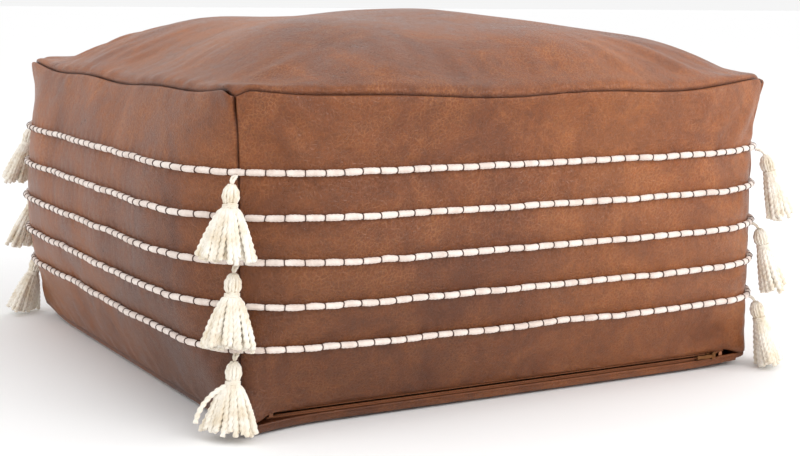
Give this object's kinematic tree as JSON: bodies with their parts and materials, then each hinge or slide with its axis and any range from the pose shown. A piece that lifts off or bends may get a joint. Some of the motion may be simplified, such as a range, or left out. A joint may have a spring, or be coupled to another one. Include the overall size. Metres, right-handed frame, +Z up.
{
  "type": "floor pouf",
  "caption": "Square floor pouf in brown leather with a crowned top, rows of couched cream yarn around its sides, yarn tassels hanging at its corners and a zip along one lower edge.",
  "frame": {"origin": "centre of the footprint, on the floor", "axes": "+Z up; the side with the zip faces -Y"},
  "size_m": [0.6639, 0.6712, 0.353],
  "materials": {
    "cover_leather": "smooth semi-gloss, mottled",
    "filling": "matt",
    "laid_yarn": "matt, fuzzy",
    "couching_thread": "matt",
    "tassel_yarn": "matt, fuzzy",
    "tassel_cord": "matt, fuzzy",
    "zip_tape": "woven",
    "zip_teeth": "satin",
    "zip_metal": "aged"
  },
  "bodies": {
    "cover": {"top_panel": "cover_leather", "bottom_panel": "cover_leather", "side_panel_front": "cover_leather", "side_panel_right": "cover_leather", "side_panel_back": "cover_leather", "side_panel_left": "cover_leather", "filling": "filling", "laid_yarn_row_1": "laid_yarn", "couching_ties_row_1": "couching_thread", "laid_yarn_row_2": "laid_yarn", "couching_ties_row_2": "couching_thread", "laid_yarn_row_3": "laid_yarn", "couching_ties_row_3": "couching_thread", "laid_yarn_row_4": "laid_yarn", "couching_ties_row_4": "couching_thread", "laid_yarn_row_5": "laid_yarn", "couching_ties_row_5": "couching_thread", "zipper_tape_lower": "zip_tape", "zipper_tape_upper": "zip_tape", "zipper_teeth_lower": "zip_teeth", "zipper_teeth_upper": "zip_teeth", "zipper_end_stops": "zip_metal"},
    "loop_front_left_upper": {"tassel_loop_front_left_upper": "tassel_cord"},
    "tassel_front_left_upper": {"tassel_skein_front_left_upper": "tassel_yarn", "tassel_wrap_front_left_upper": "tassel_cord"},
    "loop_front_left_middle": {"tassel_loop_front_left_middle": "tassel_cord"},
    "tassel_front_left_middle": {"tassel_skein_front_left_middle": "tassel_yarn", "tassel_wrap_front_left_middle": "tassel_cord"},
    "loop_front_left_lower": {"tassel_loop_front_left_lower": "tassel_cord"},
    "tassel_front_left_lower": {"tassel_skein_front_left_lower": "tassel_yarn", "tassel_wrap_front_left_lower": "tassel_cord"},
    "loop_front_right_upper": {"tassel_loop_front_right_upper": "tassel_cord"},
    "tassel_front_right_upper": {"tassel_skein_front_right_upper": "tassel_yarn", "tassel_wrap_front_right_upper": "tassel_cord"},
    "loop_front_right_middle": {"tassel_loop_front_right_middle": "tassel_cord"},
    "tassel_front_right_middle": {"tassel_skein_front_right_middle": "tassel_yarn", "tassel_wrap_front_right_middle": "tassel_cord"},
    "loop_front_right_lower": {"tassel_loop_front_right_lower": "tassel_cord"},
    "tassel_front_right_lower": {"tassel_skein_front_right_lower": "tassel_yarn", "tassel_wrap_front_right_lower": "tassel_cord"},
    "loop_back_right_upper": {"tassel_loop_back_right_upper": "tassel_cord"},
    "tassel_back_right_upper": {"tassel_skein_back_right_upper": "tassel_yarn", "tassel_wrap_back_right_upper": "tassel_cord"},
    "loop_back_right_middle": {"tassel_loop_back_right_middle": "tassel_cord"},
    "tassel_back_right_middle": {"tassel_skein_back_right_middle": "tassel_yarn", "tassel_wrap_back_right_middle": "tassel_cord"},
    "loop_back_right_lower": {"tassel_loop_back_right_lower": "tassel_cord"},
    "tassel_back_right_lower": {"tassel_skein_back_right_lower": "tassel_yarn", "tassel_wrap_back_right_lower": "tassel_cord"},
    "loop_back_left_upper": {"tassel_loop_back_left_upper": "tassel_cord"},
    "tassel_back_left_upper": {"tassel_skein_back_left_upper": "tassel_yarn", "tassel_wrap_back_left_upper": "tassel_cord"},
    "loop_back_left_middle": {"tassel_loop_back_left_middle": "tassel_cord"},
    "tassel_back_left_middle": {"tassel_skein_back_left_middle": "tassel_yarn", "tassel_wrap_back_left_middle": "tassel_cord"},
    "loop_back_left_lower": {"tassel_loop_back_left_lower": "tassel_cord"},
    "tassel_back_left_lower": {"tassel_skein_back_left_lower": "tassel_yarn", "tassel_wrap_back_left_lower": "tassel_cord"},
    "zip_slider": {"zipper_slider": "zip_metal"},
    "zip_pull": {"zipper_pull": "zip_metal"}
  },
  "joints": [
    {"name": "loop_sway_front_left_upper", "type": "hinge", "parent": "cover", "child": "loop_front_left_upper", "pos_m": [-0.28748, -0.28748, 0.222], "axis": [-0.7071, -0.7071, 0], "range_deg": [-15, 15]},
    {"name": "tassel_swing_front_left_upper", "type": "hinge", "parent": "loop_front_left_upper", "child": "tassel_front_left_upper", "pos_m": [-0.29399, -0.29399, 0.219], "axis": [-0.7071, 0.7071, 0], "range_deg": [0, 80]},
    {"name": "loop_sway_front_left_middle", "type": "hinge", "parent": "cover", "child": "loop_front_left_middle", "pos_m": [-0.28524, -0.28524, 0.146], "axis": [-0.7071, -0.7071, 0], "range_deg": [-15, 15]},
    {"name": "tassel_swing_front_left_middle", "type": "hinge", "parent": "loop_front_left_middle", "child": "tassel_front_left_middle", "pos_m": [-0.29174, -0.29174, 0.143], "axis": [-0.7071, 0.7071, 0], "range_deg": [0, 50]},
    {"name": "loop_sway_front_left_lower", "type": "hinge", "parent": "cover", "child": "loop_front_left_lower", "pos_m": [-0.28495, -0.28495, 0.07], "axis": [-0.7071, -0.7071, 0], "range_deg": [-6, 6]},
    {"name": "tassel_swing_front_left_lower", "type": "hinge", "parent": "loop_front_left_lower", "child": "tassel_front_left_lower", "pos_m": [-0.29145, -0.29145, 0.067], "axis": [-0.7071, 0.7071, 0], "range_deg": [0, 50]},
    {"name": "loop_sway_front_right_upper", "type": "hinge", "parent": "cover", "child": "loop_front_right_upper", "pos_m": [0.28748, -0.28748, 0.222], "axis": [0.7071, -0.7071, 0], "range_deg": [-15, 15]},
    {"name": "tassel_swing_front_right_upper", "type": "hinge", "parent": "loop_front_right_upper", "child": "tassel_front_right_upper", "pos_m": [0.29399, -0.29399, 0.219], "axis": [-0.7071, -0.7071, 0], "range_deg": [0, 80]},
    {"name": "loop_sway_front_right_middle", "type": "hinge", "parent": "cover", "child": "loop_front_right_middle", "pos_m": [0.28524, -0.28524, 0.146], "axis": [0.7071, -0.7071, 0], "range_deg": [-15, 15]},
    {"name": "tassel_swing_front_right_middle", "type": "hinge", "parent": "loop_front_right_middle", "child": "tassel_front_right_middle", "pos_m": [0.29174, -0.29174, 0.143], "axis": [-0.7071, -0.7071, 0], "range_deg": [0, 50]},
    {"name": "loop_sway_front_right_lower", "type": "hinge", "parent": "cover", "child": "loop_front_right_lower", "pos_m": [0.28495, -0.28495, 0.07], "axis": [0.7071, -0.7071, 0], "range_deg": [-6, 6]},
    {"name": "tassel_swing_front_right_lower", "type": "hinge", "parent": "loop_front_right_lower", "child": "tassel_front_right_lower", "pos_m": [0.29145, -0.29145, 0.067], "axis": [-0.7071, -0.7071, 0], "range_deg": [0, 50]},
    {"name": "loop_sway_back_right_upper", "type": "hinge", "parent": "cover", "child": "loop_back_right_upper", "pos_m": [0.28748, 0.28748, 0.222], "axis": [0.7071, 0.7071, 0], "range_deg": [-15, 15]},
    {"name": "tassel_swing_back_right_upper", "type": "hinge", "parent": "loop_back_right_upper", "child": "tassel_back_right_upper", "pos_m": [0.29399, 0.29399, 0.219], "axis": [0.7071, -0.7071, 0], "range_deg": [0, 80]},
    {"name": "loop_sway_back_right_middle", "type": "hinge", "parent": "cover", "child": "loop_back_right_middle", "pos_m": [0.28524, 0.28524, 0.146], "axis": [0.7071, 0.7071, 0], "range_deg": [-15, 15]},
    {"name": "tassel_swing_back_right_middle", "type": "hinge", "parent": "loop_back_right_middle", "child": "tassel_back_right_middle", "pos_m": [0.29174, 0.29174, 0.143], "axis": [0.7071, -0.7071, 0], "range_deg": [0, 50]},
    {"name": "loop_sway_back_right_lower", "type": "hinge", "parent": "cover", "child": "loop_back_right_lower", "pos_m": [0.28495, 0.28495, 0.07], "axis": [0.7071, 0.7071, 0], "range_deg": [-6, 6]},
    {"name": "tassel_swing_back_right_lower", "type": "hinge", "parent": "loop_back_right_lower", "child": "tassel_back_right_lower", "pos_m": [0.29145, 0.29145, 0.067], "axis": [0.7071, -0.7071, 0], "range_deg": [0, 50]},
    {"name": "loop_sway_back_left_upper", "type": "hinge", "parent": "cover", "child": "loop_back_left_upper", "pos_m": [-0.28748, 0.28748, 0.222], "axis": [-0.7071, 0.7071, 0], "range_deg": [-15, 15]},
    {"name": "tassel_swing_back_left_upper", "type": "hinge", "parent": "loop_back_left_upper", "child": "tassel_back_left_upper", "pos_m": [-0.29399, 0.29399, 0.219], "axis": [0.7071, 0.7071, 0], "range_deg": [0, 80]},
    {"name": "loop_sway_back_left_middle", "type": "hinge", "parent": "cover", "child": "loop_back_left_middle", "pos_m": [-0.28524, 0.28524, 0.146], "axis": [-0.7071, 0.7071, 0], "range_deg": [-15, 15]},
    {"name": "tassel_swing_back_left_middle", "type": "hinge", "parent": "loop_back_left_middle", "child": "tassel_back_left_middle", "pos_m": [-0.29174, 0.29174, 0.143], "axis": [0.7071, 0.7071, 0], "range_deg": [0, 50]},
    {"name": "loop_sway_back_left_lower", "type": "hinge", "parent": "cover", "child": "loop_back_left_lower", "pos_m": [-0.28495, 0.28495, 0.07], "axis": [-0.7071, 0.7071, 0], "range_deg": [-6, 6]},
    {"name": "tassel_swing_back_left_lower", "type": "hinge", "parent": "loop_back_left_lower", "child": "tassel_back_left_lower", "pos_m": [-0.29145, 0.29145, 0.067], "axis": [0.7071, 0.7071, 0], "range_deg": [0, 50]},
    {"name": "zip_slide", "type": "slide", "parent": "cover", "child": "zip_slider", "axis": [-1, 0, 0], "range_m": [0, 0.47]},
    {"name": "pull_swing", "type": "hinge", "parent": "zip_slider", "child": "zip_pull", "pos_m": [0.24, -0.2883, 0.0142], "axis": [0, 0, 1], "range_deg": [0, 180]}
  ]
}
